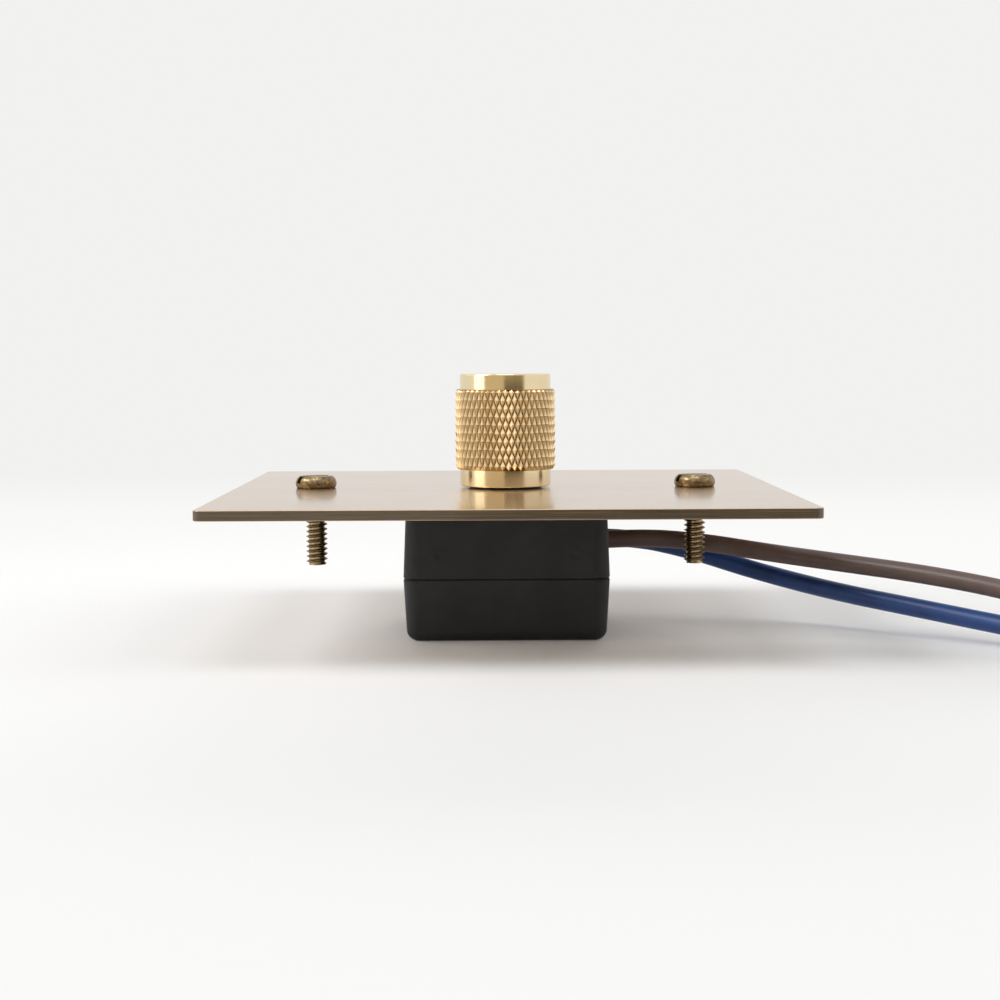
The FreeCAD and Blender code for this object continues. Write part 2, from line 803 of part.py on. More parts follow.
def diac_ends():
    middle = timing_left + diac_length / 2 + axial_leg_reach
    half = diac_length / 2 + axial_leg_reach
    return [(middle - half, diac_place_y), (middle + half, diac_place_y)]


def lead_tail_place(points):
    x, y, z = points[0]
    return (x - lead_tail_reach, y)


def circuit_board():
    board = block((-board_half, -board_half, board_bottom), (board_half, board_half, board_top))
    upright = [e for e in board.Edges if abs(e.Vertexes[0].Z - e.Vertexes[1].Z) > board_thickness / 2]
    board = board.makeFillet(board_corner, upright)
    fine = film_legs() + timing_legs() + fuse_legs() + choke_legs() + diac_ends()
    for x in resistor_places():
        fine += resistor_ends(x)
    holes = [disc(leg_diameter / 2 + leg_clearance, board_bottom, board_top, x, y) for x, y in fine]
    square_leg = triac_leg_size / math.sqrt(2) + leg_clearance
    holes += [disc(square_leg, board_bottom, board_top, x, y) for x, y in triac_legs()]
    tag_hole = math.hypot(tag_leg_width, tag_thickness) / 2 + leg_clearance
    tag_y = tag_place_y + tag_thickness / 2
    holes += [disc(tag_hole, board_bottom, board_top, x, tag_y) for x in (-tag_pitch, 0, tag_pitch)]
    core_hole = lead_core_diameter / 2 + leg_clearance
    tails = [lead_tail_place(points) for points in (brown_points, blue_points)]
    holes += [disc(core_hole, board_bottom, board_top, x, y) for x, y in tails]
    return board.cut(holes)


def triac():
    half = triac_width / 2
    split = triac_back - triac_tab_length
    top = board_top + triac_height
    body = block((-half, triac_front, board_top), (half, split, top))
    body = body.makeChamfer(box_part_round, edges_at(body, top))
    tab_top = board_top + triac_tab_thickness
    tab = block((-half, triac_front, board_top), (half, triac_back, tab_top))
    hole = disc(triac_tab_hole / 2, board_top, tab_top, 0, triac_back - triac_tab_length / 2)
    size = triac_leg_size / 2
    level = board_top + triac_leg_level
    legs = []
    for x, y in triac_legs():
        top = level + size
        tail = board_bottom - leg_tail
        legs.append(block((x - size, y - size, level - size), (x + size, triac_front, top)))
        legs.append(block((x - size, y - size, tail), (x + size, y + size, top)))
    return joined(body, tab, *legs).cut(hole)


def straight_legs(places, top):
    return [disc(leg_diameter / 2, board_bottom - leg_tail, top, x, y) for x, y in places]


def choke_core():
    radius = choke_diameter / 2
    top = board_top + choke_height
    flange_top = board_top + choke_flange
    neck_top = top - choke_flange
    profile = [(0, board_top), (radius, board_top), (radius, flange_top), (choke_neck, flange_top)]
    profile += [(choke_neck, neck_top), (radius, neck_top), (radius, top), (0, top)]
    core = moved(turned(profile), -side_room_middle, -side_room_middle, 0)
    way = leg_diameter / 2 + leg_clearance
    return core.cut([disc(way, board_top, flange_top, x, y) for x, y in choke_legs()])


def choke_winding():
    # One layer of turns as a ribbed sleeve, with both wire ends through the lower flange
    bottom = board_top + choke_flange
    height = choke_height - 2 * choke_flange
    wire = height / choke_turns
    valley = winding_radius - wire / 4
    profile = [(choke_neck, bottom)]
    for turn in range(choke_turns):
        profile += [(valley, bottom + wire * turn), (winding_radius, bottom + wire * (turn + 0.5))]
    profile += [(valley, bottom + height), (choke_neck, bottom + height)]
    winding = moved(turned(profile), -side_room_middle, -side_room_middle, 0)
    return joined(winding, *straight_legs(choke_legs(), bottom + wire))


def box_part(low, high, legs):
    # Upright moulded box with rounded top and two legs
    body = block(low, high)
    level = high[2] - box_part_round
    upper = [e for e in body.Edges if max(v.Z for v in e.Vertexes) > level]
    body = body.makeFillet(box_part_round, upper)
    return joined(body, *straight_legs(legs, low[2] + box_part_round))


def suppression_capacitor():
    half = film_length / 2
    low = (-part_gap - half, film_front, board_top)
    high = (-part_gap + half, film_back, board_top + film_height)
    return box_part(low, high, film_legs())


def timing_capacitor():
    half = timing_length / 2
    low = (timing_left, -half, board_top)
    high = (timing_left + timing_thickness, half, board_top + timing_height)
    return box_part(low, high, timing_legs())


def fuse():
    radius = fuse_diameter / 2
    top = board_top + fuse_height
    cap_top = board_top + fuse_cap_height
    waist = radius - box_part_round
    crown = waist - box_part_round
    profile = [(0, board_top), (radius, board_top), (radius, cap_top), (waist, cap_top)]
    profile += [(waist, top - box_part_round), (crown, top), (0, top)]
    body = moved(turned(profile), side_room_middle, -side_room_middle, 0)
    return joined(body, *straight_legs(fuse_legs(), cap_top))


def axial_part(profile, ends, diameter):
    # Lying round body between two legs that bend down into the board
    level = board_top + axial_lift + diameter / 2
    (x0, y0), (x1, y1) = ends
    middle = Vector((x0 + x1) / 2, (y0 + y1) / 2, level)
    along = Vector(x1 - x0, y1 - y0, 0)
    body = turned(profile)
    body.Placement = FreeCAD.Placement(middle, FreeCAD.Rotation(Vector(0, 0, 1), along))
    bottom = board_bottom - leg_tail
    wire = tube([(x0, y0, bottom), (x0, y0, level), (x1, y1, level), (x1, y1, bottom)], leg_diameter)[0]
    return joined(body, wire)


def resistors():
    end = resistor_diameter / 2
    waist = resistor_waist / 2
    half = resistor_length / 2
    cap = resistor_length / 4
    profile = [(0, -half), (end, -half), (end, -half + cap), (waist, -half + cap)]
    profile += [(waist, half - cap), (end, half - cap), (end, half), (0, half)]
    places = resistor_places()
    return Part.makeCompound([axial_part(profile, resistor_ends(x), resistor_diameter) for x in places])


def diac():
    radius = diac_diameter / 2
    half = diac_length / 2
    profile = [(0, -half), (radius, -half), (radius, half), (0, half)]
    return axial_part(profile, diac_ends(), diac_diameter)


def lead(name, points):
    solid, length, radii = tube(points, lead_diameter)
    bar = math.pi * lead_diameter ** 2 / 4 * length
    rounded = ", ".join(f"{radius:.1f}" for radius in radii)
    print(f"{name}: length {length:.1f}, volume over section and length {solid.Volume / bar:.4f}")
    print(f"{name}: bend radii {rounded}")
    return solid


def lead_core(points):
    # Bare copper beyond the insulation: a stripped tip outside, a tail bent into the board inside
    last = Vector(*points[-1])
    outwards = last - Vector(*points[-2])
    tip = Part.makeCylinder(lead_core_diameter / 2, lead_strip, last, outwards)
    x, y, z = points[0]
    tail_x, tail_y = lead_tail_place(points)
    slope = (points[1][2] - z) / (points[1][0] - x)
    bend = z - slope * (x - tail_x)
    foot = board_bottom - leg_tail
    tail = tube([(x, y, z), (tail_x, tail_y, bend), (tail_x, tail_y, foot)], lead_core_diameter)[0]
    return Part.makeCompound([tip, tail])


pieces = {
    "face_plate": face_plate(),
    "plate_screws": plate_screws(),
    "knob": knob(),
    "bush_nut": bush_nut(),
    "lock_washer": lock_washer(),
    "upper_case": upper_case(),
    "lower_case": lower_case(),
    "control_bush": control_bush(),
    "control_shaft": control_shaft(),
    "shaft_clip": shaft_clip(),
    "control_can": control_can(),
    "track_wafer": track_wafer(),
    "track_terminals": track_terminals(),
    "wiper_carrier": wiper_carrier(),
    "wiper": wiper(),
    "circuit_board": circuit_board(),
    "triac": triac(),
    "choke_core": choke_core(),
    "choke_winding": choke_winding(),
    "suppression_capacitor": suppression_capacitor(),
    "timing_capacitor": timing_capacitor(),
    "diac": diac(),
    "resistors": resistors(),
    "fuse": fuse(),
    "brown_lead": lead("brown_lead", brown_points),
    "brown_lead_core": lead_core(brown_points),
    "blue_lead": lead("blue_lead", blue_points),
    "blue_lead_core": lead_core(blue_points),
}

os.makedirs("parts", exist_ok=True)
for name, shape in pieces.items():
    shape.exportStep(f"parts/{name}.step")
print(f"{len(pieces)} pieces written")
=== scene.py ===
import json
import math

import bmesh
import bpy
from mathutils import Matrix, Vector


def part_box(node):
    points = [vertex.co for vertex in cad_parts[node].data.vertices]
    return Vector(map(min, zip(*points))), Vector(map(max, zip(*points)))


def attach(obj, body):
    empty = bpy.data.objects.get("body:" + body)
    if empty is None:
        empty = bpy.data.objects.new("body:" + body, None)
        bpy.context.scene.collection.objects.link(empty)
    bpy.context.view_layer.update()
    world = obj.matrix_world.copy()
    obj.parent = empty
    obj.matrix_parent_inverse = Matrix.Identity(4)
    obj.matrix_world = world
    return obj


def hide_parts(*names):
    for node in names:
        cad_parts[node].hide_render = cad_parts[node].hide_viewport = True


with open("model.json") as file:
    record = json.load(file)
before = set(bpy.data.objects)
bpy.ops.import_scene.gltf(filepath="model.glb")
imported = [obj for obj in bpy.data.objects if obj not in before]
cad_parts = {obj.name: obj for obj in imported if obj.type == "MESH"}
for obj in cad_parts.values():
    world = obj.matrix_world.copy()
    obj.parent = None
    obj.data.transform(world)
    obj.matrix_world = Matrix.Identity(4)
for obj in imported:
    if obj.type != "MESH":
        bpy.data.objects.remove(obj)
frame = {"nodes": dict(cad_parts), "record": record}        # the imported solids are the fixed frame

mm = 0.001               # sizes below are in millimetres, Blender's are in metres
weld = 1e-6              # points nearer than this are one point
nodes = frame["nodes"]
scene = bpy.context.scene


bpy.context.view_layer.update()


# A socket that takes part in plain maths
class Wire:
    def __init__(self, finish, socket):
        self.finish = finish
        self.socket = socket

    def maths(self, operation, first, second):
        return self.finish.node("ShaderNodeMath", {"operation": operation}, {0: first, 1: second})

    def __add__(self, other):
        return self.maths("ADD", self, other)

    def __sub__(self, other):
        return self.maths("SUBTRACT", self, other)

    def __mul__(self, other):
        return self.maths("MULTIPLY", self, other)

    def __truediv__(self, other):
        return self.maths("DIVIDE", self, other)

    def __pow__(self, other):
        return self.maths("POWER", self, other)

    def __abs__(self):
        return self.maths("ABSOLUTE", self, 0)

    def __rsub__(self, other):
        return self.maths("SUBTRACT", other, self)


# One node tree, of a material or of the world
class Finish:
    def __init__(self, name, tree=None):
        if tree is None:
            self.material = bpy.data.materials.new(name)
            self.material.use_nodes = True
            tree = self.material.node_tree
        self.tree = tree
        self.shader = tree.nodes.get("Principled BSDF")

    def node(self, kind, settings=None, sockets=None, output=0):
        made = self.tree.nodes.new(kind)
        for key, value in (settings or {}).items():
            if key == "stops":
                self.setStops(made.color_ramp, value)
            else:
                setattr(made, key, value)
        for key, value in (sockets or {}).items():
            self.feed(made.inputs[key], value)
        return Wire(self, made.outputs[output])

    def setStops(self, ramp, stops):
        while len(ramp.elements) < len(stops):
            ramp.elements.new(1.0)
        for element, (place, colour) in zip(ramp.elements, stops):
            element.position = place
            element.color = (*colour, 1)

    def feed(self, socket, value):
        if isinstance(value, Wire):
            self.tree.links.new(value.socket, socket)
        elif hasattr(socket.default_value, "__len__") and len(socket.default_value) == 4 and len(value) == 3:
            socket.default_value = (*value, 1)
        else:
            socket.default_value = value

    def set(self, **sockets):
        for name, value in sockets.items():
            self.feed(self.shader.inputs[name.replace("_", " ")], value)

    def place(self):
        return self.node("ShaderNodeTexCoord", output="Object")

    def axes(self):
        split = self.node("ShaderNodeSeparateXYZ", sockets={0: self.place()})
        return [Wire(self, split.socket.node.outputs[axis]) for axis in "XYZ"]

    def noise(self, size, detail=4, roughness=0.55, stretch=(1, 1, 1), shift=(0, 0, 0)):
        # size is the width of one lump in millimetres, longer along an axis by its stretch
        scale = [1 / (size * mm * longer) for longer in stretch]
        at = self.node("ShaderNodeMapping", sockets={
            "Vector": self.place(), "Location": shift, "Scale": scale})
        return self.node("ShaderNodeTexNoise", sockets={
            "Vector": at, "Scale": 1, "Detail": detail, "Roughness": roughness})

    def lines(self, along, size, detail=3):
        # noise along one number, for rings that a lathe leaves
        return self.node("ShaderNodeTexNoise", {"noise_dimensions": "1D"}, {
            "W": along / (size * mm), "Scale": 1, "Detail": detail})

    def span(self, value, low, high, toLow=0.0, toHigh=1.0):
        return self.node("ShaderNodeMapRange", {"interpolation_type": "SMOOTHSTEP"}, {
            "Value": value, "From Min": low, "From Max": high, "To Min": toLow, "To Max": toHigh})

    def mix(self, share, first, second):
        return self.node("ShaderNodeMix", {"data_type": "RGBA"}, {0: share, 6: first, 7: second}, output=2)

    def bump(self, height, depth, strength=1.0):
        # depth is the relief in millimetres
        return self.node("ShaderNodeBump", sockets={
            "Height": height, "Distance": depth * mm, "Strength": strength})


def larger(first, second):
    return first.maths("MAXIMUM", first, second)


print("shader helpers ready")


# Camera, fitted to the plate's corners and the screws
cameraView = {
    "place": (-2.77, -285.87, 42.817),
    "turn": 0.377,       # degrees towards +X
    "dip": 4.482,        # degrees down
    "roll": -0.234,
    "focalPixels": 1797.97,
    "picturePixels": 1000,
    "sensor": 36.0,
    "clip": (0.005, 50),
}


def makeCamera():
    turn, dip, roll = (math.radians(cameraView[key]) for key in ("turn", "dip", "roll"))
    ahead = Vector((math.sin(turn) * math.cos(dip), math.cos(turn) * math.cos(dip), -math.sin(dip)))
    level = Vector((math.cos(turn), -math.sin(turn), 0))
    above = level.cross(ahead)
    right = level * math.cos(roll) + above * math.sin(roll)
    up = above * math.cos(roll) - level * math.sin(roll)
    lens = bpy.data.cameras.new("photo_camera")
    lens.sensor_width = cameraView["sensor"]
    lens.lens = cameraView["sensor"] * cameraView["focalPixels"] / cameraView["picturePixels"]
    lens.clip_start, lens.clip_end = cameraView["clip"]
    camera = bpy.data.objects.new("photo_camera", lens)
    scene.collection.objects.link(camera)
    pose = Matrix((right, up, -ahead)).transposed().to_4x4()
    pose.translation = Vector(cameraView["place"]) * mm
    camera.matrix_world = pose
    scene.camera = camera


makeCamera()
print("camera set")


def addPiece(name, data, body, finish, replaced):
    piece = bpy.data.objects.new(name, data)
    scene.collection.objects.link(piece)
    data.materials.clear()
    data.materials.append(finish.material)
    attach(piece, body)
    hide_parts(*replaced)
    return piece


def meshFrom(bm, name, sharpAngle):
    # smooth shading that breaks at edges sharper than the angle
    mesh = bpy.data.meshes.new(name)
    bm.to_mesh(mesh)
    bm.free()
    mesh.shade_smooth()
    mesh.set_sharp_from_angle(angle=math.radians(sharpAngle))
    return mesh


# Leads: solid copper in a smooth insulation, on the same routes as their solids
leadInsulation = {
    "diameter": 2.9,
    "brown": {"base": (0.112, 0.069, 0.057), "pale": (0.142, 0.09, 0.076)},
    "blue": {"base": (0.009, 0.046, 0.195), "pale": (0.014, 0.064, 0.245)},
    "roughness": (0.38, 0.46),
    "ringSteps": 10,
    "runSteps": 16,
}
leadRoutes = {
    "brown": {"length": 124.1, "points": (
        (12.2, 6.0, 13.2),
        (21.5, 6.0, 13.8),
        (31.5, 5.2, 13.1),
        (42.5, 1.2, 11.6),
        (53.5, -5.6, 10.6),
        (64.0, -13.8, 9.8),
        (74.0, -22.6, 8.5),
        (85.0, -30.5, 5.9),
        (97.0, -36.5, 3.2),
        (110.0, -39.8, 1.7),
        (122.5, -40.4, 1.6),
    )},
    "blue": {"length": 128.9, "points": (
        (12.2, 9.4, 13.5),
        (20.5, 9.4, 13.5),
        (30.0, 8.8, 11.5),
        (40.5, 5.0, 8.3),
        (52.0, -3.4, 5.9),
        (63.0, -12.8, 4.5),
        (73.5, -22.6, 3.2),
        (84.0, -32.6, 2.0),
        (95.0, -42.0, 1.6),
        (107.5, -48.8, 1.5),
        (120.0, -51.8, 1.6),
    )},
}


def insulationFinish(colour):
    tone = leadInsulation[colour]
    low, high = leadInsulation["roughness"]
    finish = Finish(f"{colour}_insulation")
    cloud = finish.noise(7, detail=3)
    grain = finish.noise(0.16, detail=3)
    finish.set(
        Base_Color=finish.mix(finish.span(cloud, 0.35, 0.65), tone["base"], tone["pale"]),
        Roughness=finish.span(cloud + grain * 0.4, 0.45, 0.95, low, high),
        Normal=finish.bump(grain, 0.006, 0.4),
    )
    return finish


def makeLead(colour):
    route = leadRoutes[colour]
    curve = bpy.data.curves.new(f"{colour}_lead_insulation", "CURVE")
    curve.dimensions = "3D"
    curve.bevel_depth = leadInsulation["diameter"] / 2 * mm
    curve.bevel_resolution = leadInsulation["ringSteps"]
    curve.resolution_u = leadInsulation["runSteps"]
    curve.use_fill_caps = True
    spline = curve.splines.new("NURBS")
    spline.points.add(len(route["points"]) - 1)
    for point, place in zip(spline.points, route["points"]):
        point.co = (*(Vector(place) * mm), 1)
    spline.order_u = 3
    spline.use_endpoint_u = True
    spline.use_smooth = True
    finish = insulationFinish(colour)
    node = f"{colour}_lead"
    piece = addPiece(f"{colour}_lead_insulation", curve, "housing", finish, [node])


for leadColour in leadRoutes:
    makeLead(leadColour)
print("leads laid")


# Knob: turned on a lathe, with a diamond knurl rolled into its band
knobShape = {
    "collar": 7.2,
    "tip": 8.0,
    "root": 7.6,
    "upperCollar": 2.4,
    "lowerCollar": 2.65,
    "rimRound": 0.22,
    "teeth": 50,
    "rows": 10,
    "topChamfer": 0.4,
    "bottomChamfer": 0.7,
    "ridgeRound": 0.04,
    "well": 6.07,
    "wellDepth": 3.7,
    "bore": 3.01,
    "crown": 3.0,
    "sharpAngle": 10,
}
knobBrass = {
    "base": (0.86, 0.73, 0.49),
    "warm": (0.82, 0.66, 0.40),
    "knurl": (0.86, 0.68, 0.41),
    # the next two are painted shade in the knurl's grooves: its colour and how far above the root it reaches
    "groove": (0.38, 0.23, 0.085),
    "grooveHeight": 0.26,
    "bandFade": (0.1, 0.2),
    "roughness": (0.12, 0.18),
    "knurlRoughness": 0.17,
}


def quarterRound(centreRadius, centreLevel, radius, first, last, steps=12):
    # points of an arc in the lathe's section, angles in degrees from straight out
    angles = [math.radians(first + (last - first) * step / steps) for step in range(steps + 1)]
    return [(centreRadius + radius * math.cos(a), centreLevel + radius * math.sin(a)) for a in angles]


def spinProfile(bm, profile, steps):
    chain = [bm.verts.new((radius * mm, 0, level * mm)) for radius, level in profile]
    links = [bm.edges.new(pair) for pair in zip(chain, chain[1:])]
    bmesh.ops.spin(bm, geom=chain + links, cent=(0, 0, 0), axis=(0, 0, 1), dvec=(0, 0, 0),
                   angle=2 * math.pi, steps=steps, use_merge=True)
    bmesh.ops.remove_doubles(bm, verts=bm.verts, dist=weld)
    bmesh.ops.recalc_face_normals(bm, faces=bm.faces)


def knobFinish():
    finish = Finish("knob_turned_brass")
    x, y, z = finish.axes()
    radius = (x * x + y * y) ** 0.5
    rings = finish.lines(radius + z, 0.05)
    cloud = finish.noise(2.5, detail=5)
    inBand = finish.span(radius, *((knobShape["collar"] + out) * mm for out in knobBrass["bandFade"]))
    root = knobShape["root"]
    # painted shade: the knurl darkens towards its root radius, where shade falls between the teeth
    depth = finish.span(radius, root * mm, (root + knobBrass["grooveHeight"]) * mm, 1, 0) * inBand
    low, high = knobBrass["roughness"]
    smooth = finish.mix(cloud, knobBrass["base"], knobBrass["warm"])
    tone = finish.mix(inBand * 0.8, smooth, knobBrass["knurl"])
    turned = finish.span(rings, 0.35, 0.7, low, high)
    finish.set(
        Base_Color=finish.mix(depth * 0.9, tone, knobBrass["groove"]),
        Metallic=1.0,
        Roughness=turned * (1 - inBand) + inBand * knobBrass["knurlRoughness"],
        Normal=finish.bump(rings * (1 - inBand) + cloud * 0.3, 0.006, 0.35),
    )
    return finish


def makeKnob():
    bottom, top = (corner.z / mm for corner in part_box("knob"))
    collar, tip, root, rim = (knobShape[key] for key in ("collar", "tip", "root", "rimRound"))
    bandTop = top - knobShape["upperCollar"]
    bandBottom = bottom + knobShape["lowerCollar"]
    firstRow = bandBottom + knobShape["bottomChamfer"]
    rowStep = (bandTop - knobShape["topChamfer"] - firstRow) / (knobShape["rows"] - 1)
    profile = [(0, top)]
    profile += quarterRound(collar - rim, top - rim, rim, 90, 0)
    profile += [(collar, bandTop), (root, bandTop)]
    profile += [(tip, firstRow + rowStep * row) for row in reversed(range(knobShape["rows"]))]
    profile += [(root, bandBottom), (collar, bandBottom)]
    profile += quarterRound(collar - rim, bottom + rim, rim, 0, -90)
    wellTop = bottom + knobShape["wellDepth"]
    boreTop = top - knobShape["crown"]
    profile += [(knobShape["well"], bottom), (knobShape["well"], wellTop)]
    profile += [(knobShape["bore"], wellTop), (knobShape["bore"], boreTop), (0, boreTop)]
    bm = bmesh.new()
    spinProfile(bm, profile, 2 * knobShape["teeth"])

    # every second point of the band is pressed down to the root radius
    halfStep = (tip - root) / 2 * mm
    tips = set()
    for vert in bm.verts:
        radius = vert.co.xy.length
        if radius < tip * mm - halfStep:
            continue
        row = round((vert.co.z / mm - firstRow) / rowStep)
        column = round(math.atan2(vert.co.y, vert.co.x) / math.pi * knobShape["teeth"])
        if (row + column) % 2:
            vert.co.xy *= root / tip
        else:
            tips.add(vert)
    for face in list(bm.faces):
        corners = list(face.verts)
        if len(corners) != 4 or not tips.intersection(corners):
            continue
        ends = [pair for pair in (corners[0::2], corners[1::2]) if not tips.intersection(pair)]
        bmesh.utils.face_split(face, *ends[0])
    ridges = [edge for edge in bm.edges if len(tips.intersection(edge.verts)) == 1]
    bmesh.ops.bevel(bm, geom=ridges, offset=knobShape["ridgeRound"] * mm, offset_type="OFFSET", segments=1,
                    profile=0.5, affect="EDGES", material=-1, clamp_overlap=True)
    mesh = meshFrom(bm, "knob_turned", knobShape["sharpAngle"])
    addPiece("knob_turned", mesh, "rotor", knobFinish(), ["knob"])


makeKnob()
print("knob turned and knurled")


# Plate screws: slotted heads as in the solids, with the thread that the solids leave plain
screwShape = {
    "places": (-30.15, 30.15),
    "slotAngles": (36.0, 25.0),
    "headFoot": 22.5,
    "headHeight": 1.9,
    "headRadius": 3.25,
    "footRadius": 3.0,
    "crownRadius": 2.75,
    "bellyHeight": 0.8,
    "crownRound": 0.14,
    "slotWidth": 1.0,
    "slotDepth": 1.1,
    "neck": 1.5,
    "crest": 1.7,
    "threadDepth": 0.44,
    "threadPitch": 0.79,
    "crestFlat": 0.05,
    "rootFlat": 0.26,
    "threadTop": 21.4,
    "tip": 10.25,
    "tipChamfer": 0.35,
    "turnSteps": 48,
    "startTurns": 1.5,   # wound from this far below the tip
    "headSteps": 72,
    "sideSteps": 8,
    "neckOverlap": 0.3,
    "sharpAngle": 32,
}
screwBrass = {
    "dark": (0.098, 0.065, 0.033),
    "base": (0.222, 0.156, 0.08),
    "bright": (0.405, 0.312, 0.184),
    "thread": (0.46, 0.345, 0.2),
    # the next two are a painted contact shadow: its colour and its height above the head's foot
    "painted_foot_shade": (0.04, 0.03, 0.02),
    "paintedFootShadeHeight": 0.45,
    "roughness": (0.24, 0.42),
}


def screwFinish():
    finish = Finish("screw_aged_brass")
    x, y, z = finish.axes()
    across = x - x.maths("SIGN", x, 0) * (screwShape["places"][1] * mm)
    turn = y.maths("ARCTAN2", y, across) / (2 * math.pi)
    rise = (z / mm - screwShape["tip"]) / screwShape["threadPitch"] + screwShape["startTurns"] - turn
    phase = rise.maths("FRACT", rise, 0)         # 0 where the root begins, 0.5 under the crest
    mottle = finish.noise(0.55, detail=8, roughness=0.62)
    fleck = finish.noise(0.22, detail=4)
    tone = finish.node("ShaderNodeValToRGB", {"stops": (
        (0.3, screwBrass["dark"]), (0.5, screwBrass["base"]), (0.72, screwBrass["bright"]))}, {0: mottle})
    thread = finish.span(z, (screwShape["threadTop"] - 0.2) * mm, screwShape["threadTop"] * mm, 1, 0)
    # painted shade: the lower flank of every thread turn is darkened, where light from above does not fall
    painted_flank_shade = finish.span(abs(phase - 0.5), 0.1, 0.2, 1, 0) * thread
    foot = screwShape["headFoot"]
    # painted shadow: the head darkens to near black just above its foot, where it meets the plate
    painted_foot_shade = finish.span(z, foot * mm, (foot + screwBrass["paintedFootShadeHeight"]) * mm, 1, 0) * (1 - thread)
    aged = finish.mix(thread * 0.8, tone, screwBrass["thread"])
    # the mottled tone with the painted shade on the thread's lower flanks
    aged_with_painted_flank_shade = finish.mix(painted_flank_shade * 0.8, aged, screwBrass["dark"])
    low, high = screwBrass["roughness"]
    finish.set(
        Base_Color=finish.mix(painted_foot_shade * 0.95, aged_with_painted_flank_shade, screwBrass["painted_foot_shade"]),
        Metallic=finish.span(mottle, 0.3, 0.45, 0.75, 1),
        Roughness=finish.span(mottle + fleck * 0.5, 0.5, 0.95, high, low),
        Normal=finish.bump((mottle + fleck * 0.5) * (1 - thread * 0.85), 0.012, 0.5),
    )
    return finish


def arcThrough(first, middle, last, steps):
    # points on the circle through three points of the lathe's section
    (ax, ay), (bx, by), (cx, cy) = first, middle, last
    d = 2 * (ax * (by - cy) + bx * (cy - ay) + cx * (ay - by))
    a2, b2, c2 = ax * ax + ay * ay, bx * bx + by * by, cx * cx + cy * cy
    ux = (a2 * (by - cy) + b2 * (cy - ay) + c2 * (ay - by)) / d
    uy = (a2 * (cx - bx) + b2 * (ax - cx) + c2 * (bx - ax)) / d
    radius = math.hypot(ax - ux, ay - uy)
    start = math.degrees(math.atan2(ay - uy, ax - ux))
    end = math.degrees(math.atan2(cy - uy, cx - ux))
    return quarterRound(ux, uy, radius, start, end, steps)


def screwHead(slotAngle):
    # head and neck about the Z axis, foot at level 0, with the slot cut by a bar
    height = screwShape["headHeight"]
    crownRound = screwShape["crownRound"]
    side = arcThrough((screwShape["footRadius"], 0), (screwShape["headRadius"], screwShape["bellyHeight"]),
                      (screwShape["crownRadius"], height - crownRound), screwShape["sideSteps"])
    neckEnd = screwShape["threadTop"] - screwShape["headFoot"] - screwShape["neckOverlap"]
    profile = [(0, neckEnd), (screwShape["neck"], neckEnd), (screwShape["neck"], 0)] + side
    profile += [(screwShape["crownRadius"] - crownRound, height), (0, height)]
    bm = bmesh.new()
    spinProfile(bm, profile, screwShape["headSteps"])
    mesh = bpy.data.meshes.new("screw_head")
    bm.to_mesh(mesh)
    bm.free()
    head = bpy.data.objects.new("screw_head", mesh)
    bar = bmesh.new()
    bmesh.ops.create_cube(bar, size=1)
    length = 4 * screwShape["headRadius"]
    tall = 2 * screwShape["slotDepth"]
    bmesh.ops.scale(bar, verts=bar.verts, vec=Vector((length, screwShape["slotWidth"], tall)) * mm)
    bmesh.ops.rotate(bar, verts=bar.verts, matrix=Matrix.Rotation(math.radians(slotAngle), 3, "Z"))
    bmesh.ops.translate(bar, verts=bar.verts, vec=(0, 0, height * mm))
    barMesh = bpy.data.meshes.new("slot_bar")
    bar.to_mesh(barMesh)
    bar.free()
    cutter = bpy.data.objects.new("slot_bar", barMesh)
    for made in (head, cutter):
        scene.collection.objects.link(made)
    cut = head.modifiers.new("slot", "BOOLEAN")
    cut.object = cutter
    cut.operation = "DIFFERENCE"
    cut.solver = "EXACT"
    bpy.context.view_layer.update()
    result = bpy.data.meshes.new_from_object(head.evaluated_get(bpy.context.evaluated_depsgraph_get()))
    for made in (head, cutter):
        bpy.data.objects.remove(made)
    return result


def addThread(bm):
    # a vee section wound down the shank, cut square at both ends and filled
    pitch = screwShape["threadPitch"]
    crest = screwShape["crest"]
    root = crest - screwShape["threadDepth"]
    flat = screwShape["crestFlat"]
    bottom = screwShape["tip"]
    top = screwShape["threadTop"]
    turns = math.ceil((top - bottom) / pitch) + 2
    steps = screwShape["turnSteps"]
    rootFlat = screwShape["rootFlat"]
    middle = (pitch + rootFlat) / 2
    section = [(root, 0), (root, rootFlat)]
    section += [(crest, middle - flat / 2), (crest, middle + flat / 2), (root, pitch)]
    start = bottom - screwShape["startTurns"] * pitch
    chain = [bm.verts.new((radius * mm, 0, (start + level) * mm)) for radius, level in section]
    links = [bm.edges.new(pair) for pair in zip(chain, chain[1:])]
    bmesh.ops.spin(bm, geom=chain + links, cent=(0, 0, 0), axis=(0, 0, 1), dvec=(0, 0, pitch / steps * mm),
                   angle=2 * math.pi * turns, steps=steps * turns, use_merge=False)
    bmesh.ops.remove_doubles(bm, verts=bm.verts, dist=weld)
    for level, outwards in ((bottom, -1), (top, 1)):
        bmesh.ops.bisect_plane(bm, geom=bm.verts[:] + bm.edges[:] + bm.faces[:], dist=1e-8,
                               plane_co=(0, 0, level * mm), plane_no=(0, 0, outwards), clear_outer=True)
        rim = [edge for edge in bm.edges if edge.is_boundary
               and all(abs(vert.co.z - level * mm) < weld for vert in edge.verts)]
        bmesh.ops.edgeloop_fill(bm, edges=rim)
    # the tip is chamfered
    reach = screwShape["tipChamfer"]
    for vert in bm.verts:
        over = vert.co.z / mm - bottom
        limit = (crest - reach + over) * mm
        if over < reach and vert.co.xy.length > limit:
            vert.co.xy *= limit / vert.co.xy.length
    bmesh.ops.recalc_face_normals(bm, faces=bm.faces)


